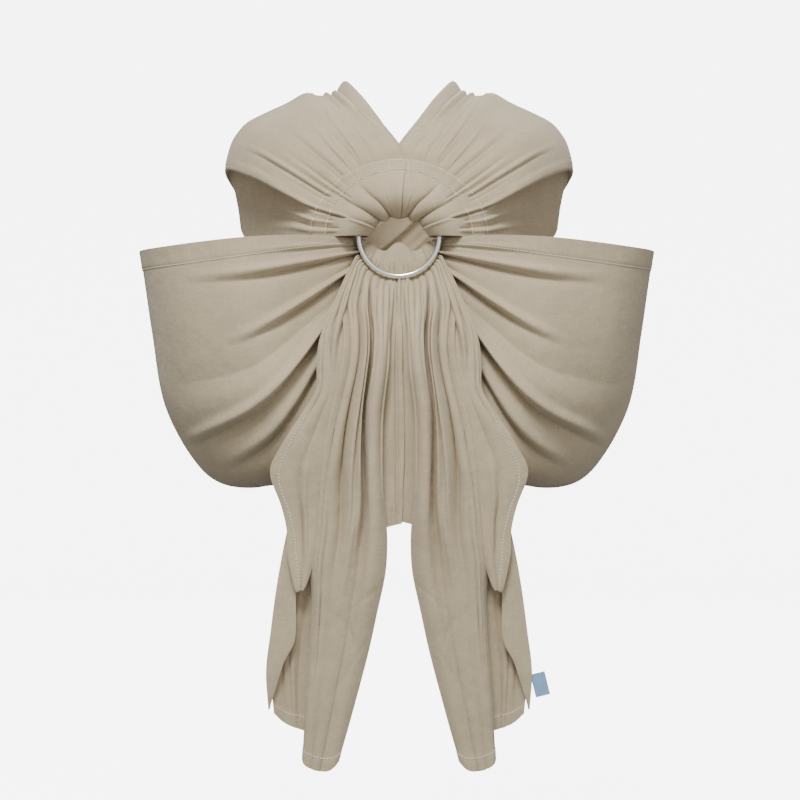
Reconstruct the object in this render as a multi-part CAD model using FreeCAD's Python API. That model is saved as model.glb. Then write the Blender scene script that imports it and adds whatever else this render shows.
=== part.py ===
"""Two-pouch ring sling, as it hangs when it is worn.

Two long woven cloths are each gathered and sewn round the top of a pair of rings.  Each cloth
spreads over one shoulder, crosses the back, comes round the other hip as a pouch and runs back
up through both rings.  It turns over the rear ring, drops behind the front ring and hangs in
front as a tail, which is pulled to tighten the pouch.

Frame: +Z up, +X to the wearer's left, the front faces -Y.  The origin is where the cloths rest
on the wearer's shoulders.  Millimetres.  Every left_ piece is at -X, and its right_ twin is the
same piece mirrored in the plane X = 0.
"""
import FreeCAD
import Part
import os
from math import cos, pi, radians, sin, sqrt

V = FreeCAD.Vector
OUT = "parts"

# ---- driving dimensions -------------------------------------------------------------------
CLOTH = 3.0              # thickness of a gathered layer of cloth
HEM_THICK = 1.6          # a turned and stitched edge, lying on its cloth
HEM_WIDTH = 14.0
GAP = 0.5                # between cloth pieces that lie against each other
BAND_GAP = 4.0           # between the two cloths where they cross at the back
BAND_LIFT = 2.0          # the inner one stands this far off the back
RING_OUTER = 89.0        # outside diameter of a ring
RING_WIRE = 5.8          # diameter of the ring's bar
RING_SPACING = 12.0      # between the two rings, middle to middle
RING_Z = -165.0          # middle of the rings, below the shoulders
RING_Y = -139.0          # middle of the front ring
SLEEVE_REACH = 21.0      # half the width of the cloth sleeve round the rings
SLEEVE_DEPTH = 21.0      # half its depth, front to back
SLEEVE_WALL = 2.5
SLEEVE_OUT = 4.9         # the sleeve's middle line lies this far outside the ring bar's
SHOULDER_HALF = 186.0    # middle of the body to the edge of the shoulder cloth
NECK_HALF = 58.0         # middle of the body to the neck edge of the cloth
CHEST_DEPTH = 134.0      # the gathers lie this far in front of the body's middle
BACK_DEPTH = 101.0       # the back lies this far behind it
POUCH_REACH = 276.0      # middle of the body to the outside of a pouch
POUCH_FRONT = 170.0      # furthest forward that a pouch bulges
POUCH_TOP = -176.0       # height of the top edge of a pouch
POUCH_BOTTOM = -427.0    # lowest point of a pouch
TAIL_Y = -186.0          # the tails hang in this plane, in front of the pouches
TAIL_CLEAR = 7.5         # a tail starts this far under the front ring
TAIL_JOIN = -262.0       # where its gathered top ends
TAIL_END = -715.0
FOLD_END = -646.0        # lower corner of the tail's folded outer layer
LABEL_WIDTH = 15.0
LABEL_LENGTH = 24.0
LABEL_THICK = 0.8
THREAD = 1.4             # diameter of a row of stitching

# ---- sizes worked out from them -----------------------------------------------------------
RING_RADIUS = (RING_OUTER - RING_WIRE) / 2
REAR_RING_Y = RING_Y + RING_SPACING
BETWEEN_RINGS_Y = (RING_Y + REAR_RING_Y) / 2
RING_BOTTOM = RING_Z - RING_OUTER / 2
SLEEVE_Y = RING_Y + 1.0
SLEEVE_RADIUS = RING_RADIUS + SLEEVE_OUT
SLEEVE_EDGE = SLEEVE_RADIUS + SLEEVE_REACH
SEAM_X = SLEEVE_EDGE + 8.5
SEAM_Z = SLEEVE_EDGE + 2.0
THROAT_HALF = RING_RADIUS - 8.6
TAIL_TOP = RING_BOTTOM - TAIL_CLEAR
SHOULDER_TIP_Z = -80.0
SHOULDER_GIRTH = 140.0   # the cloths measured along their own surface, for the widths of the hems
POUCH_GIRTH = 330.0
TAIL_WIDTH = 110.0
TAIL_LENGTH = 460.0
FOLD_Y = TAIL_Y + CLOTH + 2 * HEM_THICK + GAP


# ---- curves -------------------------------------------------------------------------------
def mix(a, b, t):
    return a + (b - a) * t


def through(points, t):
    """A smooth curve through evenly timed points (Catmull-Rom), at t from 0 to 1."""
    spans = len(points) - 1
    at = min(max(t, 0.0), 1.0) * spans
    i = min(int(at), spans - 1)
    s = at - i
    b, c = points[i], points[i + 1]
    a = points[i - 1] if i > 0 else b * 2 - c
    d = points[i + 2] if i + 2 <= spans else c * 2 - b
    return (b * 2 + (c - a) * s + (a * 2 - b * 5 + c * 4 - d) * s ** 2
            + (b * 3 - a - c * 3 + d) * s ** 3) * 0.5


def bezier(a, b, c, d, t):
    return a * (1 - t) ** 3 + b * 3 * t * (1 - t) ** 2 + c * 3 * t * t * (1 - t) + d * t ** 3


# ---- building cloth -----------------------------------------------------------------------
def normal(f, u, v):
    """The unit normal of the sheet f at (u, v), by small differences."""
    e = 0.004
    across = f(min(u + e, 1.0), v) - f(max(u - e, 0.0), v)
    along = f(u, min(v + e, 1.0)) - f(u, max(v - e, 0.0))
    n = across.cross(along)
    return n / n.Length


def sheet_surface(grid):
    surface = Part.BSplineSurface()
    surface.interpolate(grid)
    return surface


def borders(surface):
    """The four edges of a surface, each run the same way on every surface."""
    u0, u1, v0, v1 = surface.bounds()
    return [surface.uIso(u0), surface.uIso(u1), surface.vIso(v0), surface.vIso(v1)]


def wall(a, b):
    """The ruled strip between two borders.  Run the wrong way it twists and has longer ends."""
    one = Part.makeRuledSurface(a.toShape(), b.toShape())
    b.reverse()
    other = Part.makeRuledSurface(a.toShape(), b.toShape())
    return one if one.Length < other.Length else other


def cloth(f, across=(0.0, 1.0), along=(0.0, 1.0), lift=0.0, thick=CLOTH, counts=(7, 9)):
    """A closed solid: the part of the sheet f(u, v) in those ranges, lifted along its normal."""
    nu, nv = counts
    skins = []
    for side in (-thick / 2, thick / 2):
        grid = []
        for i in range(nu):
            u = mix(across[0], across[1], i / (nu - 1))
            row = []
            for j in range(nv):
                v = mix(along[0], along[1], j / (nv - 1))
                row.append(f(u, v) + normal(f, u, v) * (lift + side))
            grid.append(row)
        skins.append(sheet_surface(grid))
    walls = [wall(a, b) for a, b in zip(borders(skins[0]), borders(skins[1]))]
    shell = Part.Shell([skin.toShape() for skin in skins] + walls)
    shell.sewShape()
    solid = Part.Solid(shell)
    if solid.Volume < 0:
        solid.reverse()
    return solid


def hem(f, across, along=(0.0, 1.0)):
    """A turned edge, lying on the outside of the sheet f."""
    return cloth(f, across, along, -(CLOTH / 2 + GAP + HEM_THICK / 2), HEM_THICK, (4, 31))


def thread(f, across, along):
    """A raised row of stitching on the outside of the sheet f."""
    return cloth(f, across, along, -(CLOTH / 2 + GAP + THREAD / 2), THREAD, (13, 3))


def mirrored(shape):
    return shape.mirror(V(0, 0, 0), V(1, 0, 0))


def save(name, shape):
    good = shape.isValid() and all(s.isClosed() for s in shape.Shells)
    state = "ok" if good else "BAD"
    print(f"{name:30s} {shape.Volume / 1000:9.2f} cm3  solids {len(shape.Solids)}  {state}")
    shape.exportStep(os.path.join(OUT, name + ".step"))


def save_pair(name, shape):
    save("left_" + name, shape)
    save("right_" + name, mirrored(shape))


# ---- the rings and the cloth sleeve that holds them ---------------------------------------
def ring(y):
    """One seamless ring, upright, with its axis along Y."""
    return Part.makeTorus(RING_RADIUS, RING_WIRE / 2, V(0, y, RING_Z), V(0, 1, 0))


def ring_sleeve():
    """A quarter of the padded tube of gathered cloth that wraps the top half of both rings."""
    start, sweep = 92.0, 86.0
    middle = V(SLEEVE_RADIUS, SLEEVE_Y, RING_Z)

    def oval(reach, depth):
        if reach >= depth:
            outline = Part.Ellipse(middle, reach, depth)
        else:
            outline = Part.Ellipse(middle + V(0, depth, 0), middle + V(reach, 0, 0), middle)
        return Part.Face(Part.Wire(outline.toShape()))

    section = oval(SLEEVE_REACH, SLEEVE_DEPTH - 0.01).cut(
        oval(SLEEVE_REACH - SLEEVE_WALL, SLEEVE_DEPTH - SLEEVE_WALL - 0.01))
    section.rotate(V(0, 0, RING_Z), V(0, 1, 0), -start)
    return section.revolve(V(0, 0, RING_Z), V(0, -1, 0), sweep)


# ---- shoulder, underarm and back ----------------------------------------------------------
def seam(angle):
    """Where the gathers leave the sleeve, at an angle from +X round the rings."""
    a = radians(angle)
    return V(SEAM_X * cos(a), -CHEST_DEPTH, RING_Z + SEAM_Z * sin(a))


def ridge(u):
    """The cloth's highest line, from the neck (0) to the edge of the shoulder (1)."""
    return through([V(-NECK_HALF, 2, 10), V(-NECK_HALF - 28, 0, -2), V(-NECK_HALF - 62, 0, -15),
                    V(-SHOULDER_HALF + 24, 0, -36), V(-SHOULDER_HALF + 6, -3, -58),
                    V(-SHOULDER_HALF, -6, SHOULDER_TIP_Z)], u)


def shoulder(u, v):
    """From the sleeve to the ridge.  u: 0 at the neck edge, 1 at the lower edge by the arm."""
    low = seam(mix(91.5, 162.0, u))
    high = ridge(u)
    out = (low - V(0, low.y, RING_Z))
    out = out / out.Length
    reach = (high - low).Length
    return bezier(low, low + out * reach * 0.30 + V(0, -5, 0),
                  high + V(0, -0.55 * CHEST_DEPTH, 3 - 6 * u), high, v)


def underarm(u, v):
    """The lower part of the gathers, which turns back under the arm.  u: 0 top, 1 lower edge."""
    top = shoulder(1.0, v) + V(1.5, 9, -5)
    edge = through([seam(183.0) + V(0, 2, 0), V(-118, -126, -152), V(-150, -98, -160),
                    V(-166, -52, -163), V(-164, 8, -160)], v)
    return mix(top, edge, u) + V(0, 9, 0) * sin(pi * u) * sin(pi * v)


def back_y(x):
    """How far behind the body's middle the back is, at x."""
    return BACK_DEPTH * sqrt(max(0.0, 1 - (x / 250.0) ** 2))


def back_band(u, v, layer):
    """From the left ridge across the back to the right hip.  layer lifts it off the body."""
    def on_back(x, z):
        return V(x, back_y(x) + layer, z)

    sections = [
        (ridge(0.0), ridge(1.0)),
        (V(-40, 62 + layer, -22), V(-174, 44 + layer, -112)),
        (on_back(2, -92), on_back(-112, -208)),
        (on_back(62, -142), on_back(-16, -292)),
        (on_back(104, -168), on_back(70, -350)),
        (on_back(128, -185), on_back(128, -376)),
    ]
    upper = through([s[0] for s in sections], v)
    lower = through([s[1] for s in sections], v)
    over = through([ridge(0.5), V(-112, 70 + layer, -50), on_back(-52, -142), on_back(24, -212),
                    on_back(88, -256), on_back(128, -280)], v)
    return upper * (1 - u) * (1 - 2 * u) + over * 4 * u * (1 - u) + lower * u * (2 * u - 1)


# ---- pouch --------------------------------------------------------------------------------
def pouch(u, v):
    """u: 0 at the top edge, 1 at the bottom edge.  v: 0 by the rings, 1 at the hip behind."""
    top = through([V(-SLEEVE_EDGE - 6.5, -148, RING_Z - 5), V(-150, -POUCH_FRONT, -167),
                   V(-POUCH_REACH + 44, -136, -173), V(-POUCH_REACH, -58, POUCH_TOP),
                   V(-POUCH_REACH + 20, 22, -180), V(-200, 72, -183), V(-132, 97, -186)], v)
    side = through([V(-SLEEVE_EDGE - 2.5, -146, RING_Z - 23), V(-140, -POUCH_FRONT - 8, -262),
                    V(-POUCH_REACH + 60, -142, -292), V(-POUCH_REACH + 20, -60, -306),
                    V(-POUCH_REACH + 40, 24, -300), V(-188, 74, -284), V(-132, 98, -250)], v)
    belly = through([V(-SLEEVE_EDGE + 3.5, -143, RING_Z - 38), V(-112, -160, -350),
                     V(-168, -126, POUCH_BOTTOM + 23), V(-POUCH_REACH + 80, -58, POUCH_BOTTOM + 6),
                     V(-188, 22, POUCH_BOTTOM + 11), V(-162, 70, -380), V(-132, 98, -316)], v)
    bottom = through([V(-SLEEVE_EDGE + 9.5, -139, RING_Z - 52), V(-78, -128, -340),
                      V(-116, -94, POUCH_BOTTOM + 35), V(-132, -46, POUCH_BOTTOM + 19),
                      V(-138, 16, POUCH_BOTTOM + 21), V(-136, 62, -396), V(-132, 96, -374)], v)
    return through([top, side, belly, bottom], u)


# ---- throat: the cloth where it turns over the rear ring ----------------------------------
def throat(u, v):
    """u: 0 outside, 1 at the middle.  v: 0 behind the rear ring, over its bar, 1 in front."""
    x = mix(-THROAT_HALF, -0.8, u)
    front, rear = BETWEEN_RINGS_Y, REAR_RING_Y + RING_WIRE / 2 + CLOTH + 2.6
    half = (rear - front) / 2
    top = RING_Z - 12.0
    turn = pi * min(max((v - 0.3) / 0.4, 0.0), 1.0)
    drop = 1 - v / 0.3 if v < 0.3 else (v - 0.7) / 0.3 if v > 0.7 else 0.0
    height = mix(top - half, RING_BOTTOM, drop) + half * sin(turn)
    return V(x, (front + rear) / 2 + half * cos(turn), height)


# ---- tails --------------------------------------------------------------------------------
def tail_outer(v):
    """Outer edge of a tail's front layer, from its gathered top (0) to its end (1)."""
    return through([V(-66, TAIL_Y + 8, TAIL_JOIN), V(-77, TAIL_Y, -325), V(-118, TAIL_Y, -382),
                    V(-128, TAIL_Y, -432), V(-113, TAIL_Y, -490), V(-102, TAIL_Y, -545),
                    V(-94, TAIL_Y, -600), V(-96, TAIL_Y, -658), V(-98, TAIL_Y, TAIL_END + 6)], v)


def tail_inner(v):
    return through([V(-1, TAIL_Y + 20, TAIL_JOIN), V(-1, TAIL_Y + 10, -325),
                    V(-1, TAIL_Y + 4, -382), V(-4, TAIL_Y, -432), V(-12, TAIL_Y, -490),
                    V(-20, TAIL_Y, -545), V(-31, TAIL_Y, -600), V(-45, TAIL_Y, -658),
                    V(-60, TAIL_Y, TAIL_END)], v)


def tail_gather(u, v):
    """The bunched top of a tail.  u: 0 at its outer edge, 1 at the middle."""
    top = V(mix(-RING_RADIUS + 3.6, -1.0, u), BETWEEN_RINGS_Y, TAIL_TOP)
    low = mix(tail_outer(0.0), tail_inner(0.0), u)
    waist = mix(top, low, 0.5) + V(0, -3, 0)
    return through([top, waist, low + V(0, 0, GAP)], v)


def tail(u, v):
    return mix(tail_outer(v), tail_inner(v), u) - V(0, 0, GAP) * (1 - v)


def tail_fold(u, v):
    """The outer layer, folded back behind the tail."""
    outer = through([V(-112, 0, -462), V(-122, 0, -508), V(-130, 0, -570), V(-133, 0, FOLD_END)], v)
    inner = through([V(-66, 0, -462), V(-66, 0, -530), V(-66, 0, -605), V(-66, 0, FOLD_END - 34)], v)
    return mix(outer, inner, u) + V(0, FOLD_Y, 0)


def label():
    """A folded tape tab that sticks out from the edge of the right tail's outer layer."""
    tab = Part.makeBox(LABEL_WIDTH, LABEL_THICK, LABEL_LENGTH,
                       V(0, FOLD_Y - LABEL_THICK / 2, -LABEL_LENGTH))
    tab.rotate(V(0, FOLD_Y, 0), V(0, 1, 0), -14.0)
    tab.translate(V(-(tail_fold(0.0, 0.9).x) + GAP, 0, FOLD_END + 34))
    return tab


def main():
    os.makedirs(OUT, exist_ok=True)
    for stale in os.listdir(OUT):
        os.remove(os.path.join(OUT, stale))

    save("front_ring", ring(RING_Y))
    save("rear_ring", ring(REAR_RING_Y))
    save_pair("ring_sleeve", ring_sleeve())

    save_pair("shoulder_panel", cloth(shoulder, counts=(13, 25)))
    save_pair("neck_hem", hem(shoulder, across=(0.005, HEM_WIDTH / SHOULDER_GIRTH)))
    save_pair("inner_ring_seam", thread(shoulder, across=(0.13, 0.99), along=(0.03, 0.04)))
    save_pair("outer_ring_seam", thread(shoulder, across=(0.13, 0.99), along=(0.12, 0.13)))
    save_pair("underarm_panel", cloth(underarm, along=(0.02, 1.0), counts=(7, 13)))

    for side, layer in (("left_", BAND_LIFT + CLOTH + BAND_GAP), ("right_", BAND_LIFT)):
        band = cloth(lambda u, v: back_band(u, v, layer), along=(0.012, 1.0), counts=(9, 21))
        save(side + "back_band", band if side == "left_" else mirrored(band))

    save_pair("throat", cloth(throat, counts=(4, 19)))

    save_pair("pouch_panel", cloth(pouch, counts=(25, 31)))
    save_pair("pouch_top_hem", hem(pouch, across=(0.0, HEM_WIDTH / POUCH_GIRTH), along=(0.01, 0.995)))
    bottom_edge = (1 - HEM_WIDTH / POUCH_GIRTH, 1.0)
    save_pair("pouch_bottom_hem", hem(pouch, across=bottom_edge, along=(0.01, 0.995)))

    save_pair("tail_gather", cloth(tail_gather, counts=(5, 7)))
    save_pair("tail_panel", cloth(tail, counts=(5, 25)))
    save_pair("tail_side_hem", hem(tail, across=(0.0, HEM_WIDTH / TAIL_WIDTH), along=(0.2, 0.95)))
    save_pair("tail_end_hem", hem(tail, across=(0.02, 1.0), along=(1 - HEM_WIDTH / TAIL_LENGTH, 1.0)))
    save_pair("tail_fold", cloth(tail_fold, counts=(4, 7)))
    save("label", label())


main()
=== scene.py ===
from functools import partial
import bpy
import numpy as np
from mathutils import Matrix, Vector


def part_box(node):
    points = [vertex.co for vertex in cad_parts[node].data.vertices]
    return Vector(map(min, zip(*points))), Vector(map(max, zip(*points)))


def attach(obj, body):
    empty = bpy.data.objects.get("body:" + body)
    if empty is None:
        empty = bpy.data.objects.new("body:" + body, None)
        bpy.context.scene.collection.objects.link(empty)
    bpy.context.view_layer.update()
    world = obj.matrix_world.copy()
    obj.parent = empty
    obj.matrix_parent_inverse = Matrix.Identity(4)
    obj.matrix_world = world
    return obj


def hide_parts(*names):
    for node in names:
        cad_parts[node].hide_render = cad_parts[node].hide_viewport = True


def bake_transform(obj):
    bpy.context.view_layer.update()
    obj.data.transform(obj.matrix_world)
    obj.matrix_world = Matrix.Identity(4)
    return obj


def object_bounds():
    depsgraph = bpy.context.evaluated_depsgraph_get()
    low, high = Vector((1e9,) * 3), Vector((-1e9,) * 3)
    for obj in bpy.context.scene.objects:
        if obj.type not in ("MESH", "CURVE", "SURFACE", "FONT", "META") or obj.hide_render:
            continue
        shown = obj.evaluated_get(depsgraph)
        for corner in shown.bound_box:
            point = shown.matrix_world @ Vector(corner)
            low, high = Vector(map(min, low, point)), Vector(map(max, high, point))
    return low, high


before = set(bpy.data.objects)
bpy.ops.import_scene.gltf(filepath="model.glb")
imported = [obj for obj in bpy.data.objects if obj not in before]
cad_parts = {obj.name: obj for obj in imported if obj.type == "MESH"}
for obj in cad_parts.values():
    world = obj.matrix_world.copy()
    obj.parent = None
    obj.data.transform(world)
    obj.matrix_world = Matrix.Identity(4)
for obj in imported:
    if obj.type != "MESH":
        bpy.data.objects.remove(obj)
cad_bounds = [list(corner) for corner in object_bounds()]

# ---- The room ----
# A round cove of pale paper, evenly lit, about the sling, which hangs where a wearer would hold it.
# The camera stands level in front of the chest, far enough back that the pouches aren't stretched.
MM = 0.001
ring_low, ring_high = (np.array(corner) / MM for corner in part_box("front_ring"))
RING = (ring_low + ring_high) / 2
SPACE_BELOW = 0.10
floor_z = cad_bounds[0][2] - SPACE_BELOW
COVE_RADIUS, COVE_BEND, COVE_TOP = 5.0, 1.2, 4.5
turn = np.linspace(0, np.pi / 2, 24)
cove_r = np.concatenate([[0.001], COVE_RADIUS - COVE_BEND + COVE_BEND * np.sin(turn), [COVE_RADIUS]])
cove_z = np.concatenate([[floor_z], floor_z + COVE_BEND * (1 - np.cos(turn)), [COVE_TOP]])
round_cove = np.linspace(0, 2 * np.pi, 97)
cove_points = np.stack([np.outer(np.cos(round_cove), cove_r), np.outer(np.sin(round_cove), cove_r),
                        np.broadcast_to(cove_z, (len(round_cove), len(cove_z)))], -1)
corner = np.arange(len(round_cove) * len(cove_r)).reshape(len(round_cove), len(cove_r))
cove_faces = np.stack([corner[:-1, :-1], corner[:-1, 1:], corner[1:, 1:], corner[1:, :-1]], -1)
cove_faces = cove_faces.reshape(-1, 4)[:, ::-1]
cove_mesh = bpy.data.meshes.new("paper_cove")
cove_mesh.from_pydata(cove_points.reshape(-1, 3).tolist(), [], cove_faces.tolist())
cove_mesh.polygons.foreach_set("use_smooth", [True] * len(cove_faces))
cove = bpy.data.objects.new("paper_cove", cove_mesh)
bpy.context.scene.collection.objects.link(cove)
paper = bpy.data.materials.new("pale_paper")
paper.use_nodes = True
paper_shader = paper.node_tree.nodes["Principled BSDF"]
paper_shader.inputs["Base Color"].default_value = (0.90, 0.90, 0.90, 1)
paper_shader.inputs["Roughness"].default_value = 0.9
paper_shader.inputs["Emission Color"].default_value = (1, 1, 1, 1)
paper_shader.inputs["Emission Strength"].default_value = 6.0
paper.cycles.emission_sampling = "NONE"
cove_mesh.materials.append(paper)
cove.visible_diffuse = False
cove.visible_glossy = False
cove.visible_shadow = False

camera = bpy.data.objects.new("camera", bpy.data.cameras.new("camera"))
CAMERA_AWAY, CAMERA_HEIGHT = 2.735, -0.334
camera.location = (0.001, -CAMERA_AWAY, CAMERA_HEIGHT)
camera.rotation_euler = (np.pi / 2, 0, 0)
camera.data.lens = 113.6
camera.data.sensor_width = 36.0
bpy.context.scene.collection.objects.link(camera)
bpy.context.scene.camera = camera


def softbox(name, place, aim, size, watts):
    """A square area light of that size, turned so that it shines from its place towards aim."""
    lamp = bpy.data.objects.new(name, bpy.data.lights.new(name, "AREA"))
    lamp.data.size = size
    lamp.data.energy = watts
    lamp.location = place
    away = Vector(place) - Vector(aim)
    lamp.rotation_euler = away.to_track_quat("Z", "Y").to_euler()
    bpy.context.scene.collection.objects.link(lamp)


CHEST = (0, 0, -0.35)
softbox("key", (-0.3, -1.9, 1.9), CHEST, 0.8, 84)
softbox("fill", (1.2, -2.6, 0.3), CHEST, 1.6, 7)
softbox("back_light", (0.4, 2.0, 1.7), (0, 0, -0.3), 1.4, 22)
# The room itself is brighter above and in front than below and behind.
world = bpy.data.worlds.new("white_room")
world.use_nodes = True
room = world.node_tree
direction = room.nodes.new("ShaderNodeTexCoord")
towards = room.nodes.new("ShaderNodeVectorMath")
towards.operation = "DOT_PRODUCT"
towards.inputs[1].default_value = (0.0, -0.55, 0.83)
falloff = room.nodes.new("ShaderNodeMapRange")
falloff.inputs["From Min"].default_value = -1.0
falloff.inputs["To Min"].default_value = 0.04
falloff.inputs["To Max"].default_value = 0.86
room.links.new(direction.outputs["Generated"], towards.inputs[0])
room.links.new(towards.outputs["Value"], falloff.inputs["Value"])
room.links.new(falloff.outputs["Result"], room.nodes["Background"].inputs["Strength"])
room.nodes["Background"].inputs["Color"].default_value = (1, 1, 1, 1)
bpy.context.scene.world = world

# ---- The pair of rings ----
# Two seamless rings, cast and tumbled, with a bright silver skin.  The rear one is hidden in the
# gathers; the lower arc of the front one shows and grips the cloth against it.
silver = bpy.data.materials.new("silver_ring")
silver.use_nodes = True
tree = silver.node_tree
shader = tree.nodes["Principled BSDF"]
shader.inputs["Base Color"].default_value = (0.93, 0.97, 0.98, 1)
shader.inputs["Metallic"].default_value = 1.0
shader.inputs["Coat Weight"].default_value = 0.25
shader.inputs["Coat Roughness"].default_value = 0.08
place = tree.nodes.new("ShaderNodeTexCoord")
tumble = tree.nodes.new("ShaderNodeTexNoise")
tumble.inputs["Scale"].default_value = 900.0
tumble.inputs["Detail"].default_value = 3.0
tree.links.new(place.outputs["Object"], tumble.inputs["Vector"])
polish = tree.nodes.new("ShaderNodeMapRange")
polish.inputs["To Min"].default_value = 0.14
polish.inputs["To Max"].default_value = 0.28
tree.links.new(tumble.outputs["Fac"], polish.inputs["Value"])
tree.links.new(polish.outputs["Result"], shader.inputs["Roughness"])
dents = tree.nodes.new("ShaderNodeBump")
dents.inputs["Strength"].default_value = 0.12
dents.inputs["Distance"].default_value = 0.0002
tree.links.new(tumble.outputs["Fac"], dents.inputs["Height"])
tree.links.new(dents.outputs["Normal"], shader.inputs["Normal"])
for name in ("front_ring", "rear_ring"):
    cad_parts[name].data.materials.clear()
    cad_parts[name].data.materials.append(silver)


# ---- The two cloths over the shoulders ----
# Natural linen and cotton, plain woven, with flecks and slubs in the yarn.  Each cloth is turned
# round the rings, gathered, and sewn down by two curved rows, then spreads over the shoulder,
# hangs as a cap on the arm with its lower edge turned under, and crosses the back.
WAVE_SCALE_AT_1_MM = 314.0
SIDES = ((True, "left"), (False, "right"))


def linen(name, tone, pitch=0.9):
    """Plain weave on the cloth's own UV, in metres: the product of two crossed waves of that pitch
    in mm.  Stretched noise gives the slubs, and fine and broad noise the flecks and mottling.
    Their weighted sum mixes a darker and a lighter shade of the tone."""
    made = bpy.data.materials.new(name)
    made.use_nodes = True
    nodes, links = made.node_tree.nodes, made.node_tree.links
    cloth = nodes["Principled BSDF"]
    cloth.inputs["Roughness"].default_value = 0.88
    cloth.inputs["Specular IOR Level"].default_value = 0.25
    cloth.inputs["Sheen Weight"].default_value = 0.24
    cloth.inputs["Sheen Roughness"].default_value = 0.45
    uv = nodes.new("ShaderNodeUVMap")
    uv.uv_map = "cloth"
    spot = nodes.new("ShaderNodeTexCoord")

    def noise(vector, scale, stretch=(1, 1, 1), detail=3.0):
        mapping = nodes.new("ShaderNodeMapping")
        mapping.inputs["Scale"].default_value = stretch
        links.new(vector, mapping.inputs["Vector"])
        texture = nodes.new("ShaderNodeTexNoise")
        texture.inputs["Scale"].default_value = scale
        texture.inputs["Detail"].default_value = detail
        links.new(mapping.outputs["Vector"], texture.inputs["Vector"])
        return texture.outputs["Fac"]

    def maths(kind, a, b):
        node = nodes.new("ShaderNodeMath")
        node.operation = kind
        for socket, value in zip(node.inputs, (a, b)):
            if isinstance(value, (int, float)):
                socket.default_value = value
            else:
                links.new(value, socket)
        return node.outputs[0]

    def yarns(direction):
        wave = nodes.new("ShaderNodeTexWave")
        wave.bands_direction = direction
        wave.inputs["Scale"].default_value = WAVE_SCALE_AT_1_MM / pitch
        wave.inputs["Distortion"].default_value = 0.35
        wave.inputs["Detail"].default_value = 1.0
        links.new(uv.outputs["UV"], wave.inputs["Vector"])
        return wave.outputs["Fac"]

    weave = maths("MULTIPLY", yarns("X"), yarns("Y"))
    slub_x = noise(uv.outputs["UV"], 70, (1, 14, 1), 4)
    slub_y = noise(uv.outputs["UV"], 70, (14, 1, 1), 4)
    slubs = maths("ADD", slub_x, slub_y)
    fleck = noise(spot.outputs["Object"], 900, detail=2)
    mottle = noise(spot.outputs["Object"], 14, detail=4)
    shade = maths("ADD", maths("MULTIPLY", slubs, 0.30), maths("MULTIPLY", fleck, 0.22))
    shade = maths("ADD", shade, maths("MULTIPLY", mottle, 0.34))
    shade = maths("ADD", shade, maths("MULTIPLY", weave, 0.10))
    ramp = nodes.new("ShaderNodeMapRange")
    ramp.inputs["From Min"].default_value = 0.38
    ramp.inputs["From Max"].default_value = 0.86
    links.new(shade, ramp.inputs["Value"])
    colours = nodes.new("ShaderNodeMix")
    colours.data_type = "RGBA"
    dark = [0.74 * c for c in tone]
    light = [min(1.0, 1.18 * c) for c in tone]
    colours.inputs["A"].default_value = (*dark, 1)
    colours.inputs["B"].default_value = (*light, 1)
    links.new(ramp.outputs["Result"], colours.inputs["Factor"])
    links.new(colours.outputs["Result"], cloth.inputs["Base Color"])
    crumple = noise(spot.outputs["Object"], 55, detail=5)
    bump_weave = nodes.new("ShaderNodeBump")
    bump_weave.inputs["Strength"].default_value = 0.5
    bump_weave.inputs["Distance"].default_value = 0.00025
    links.new(maths("ADD", weave, slubs), bump_weave.inputs["Height"])
    bump_crumple = nodes.new("ShaderNodeBump")
    bump_crumple.inputs["Strength"].default_value = 0.35
    bump_crumple.inputs["Distance"].default_value = 0.004
    links.new(crumple, bump_crumple.inputs["Height"])
    links.new(bump_weave.outputs["Normal"], bump_crumple.inputs["Normal"])
    links.new(bump_crumple.outputs["Normal"], cloth.inputs["Normal"])
    return made


natural = linen("natural_linen", (0.515, 0.425, 0.282))


def curve(points, t):
    """Catmull-Rom: the smooth line through evenly timed points, at the times t from 0 to 1."""
    p = np.asarray(points, float)
    spans = len(p) - 1
    p = np.concatenate([[2 * p[0] - p[1]], p, [2 * p[-1] - p[-2]]])
    at = np.clip(t, 0, 1) * spans
    i = np.minimum(at.astype(int), spans - 1)
    s = (at - i).reshape(at.shape + (1,) * (p.ndim - 1))
    a, b, c, d = p[i], p[i + 1], p[i + 2], p[i + 3]
    return 0.5 * (2 * b + (c - a) * s + (2 * a - 5 * b + 4 * c - d) * s**2
                  + (3 * b - a - 3 * c + d) * s**3)


def net(rails, u, v):
    """A surface: each rail is a smooth line along v, and a smooth line joins them along u."""
    lines = np.stack([curve(rail, v) for rail in rails])
    return curve(lines, u)


def step(x, start, end):
    """0 before start, 1 after end, and a smooth ramp 3t^2 - 2t^3 between them."""
    t = np.clip((x - start) / (end - start), 0, 1)
    return t * t * (3 - 2 * t)


def bump(x, middle, width):
    """A bell: exp(-((x - middle) / width)^2)."""
    return np.exp(-(((x - middle) / width) ** 2))


def puffs(across, valleys, sharp=0.6):
    """Round crests between sharp valleys: (4 x (1 - x)) ^ sharp, x from 0 to 1 between valleys.
    A valley is a number, or an array where it wanders along the cloth."""
    height = np.zeros_like(across)
    for start, end in zip(valleys[:-1], valleys[1:]):
        x = (across - start) / (end - start)
        height = np.where((x >= 0) & (x < 1), np.clip(4 * x * (1 - x), 0, 1) ** sharp, height)
    return height


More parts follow.
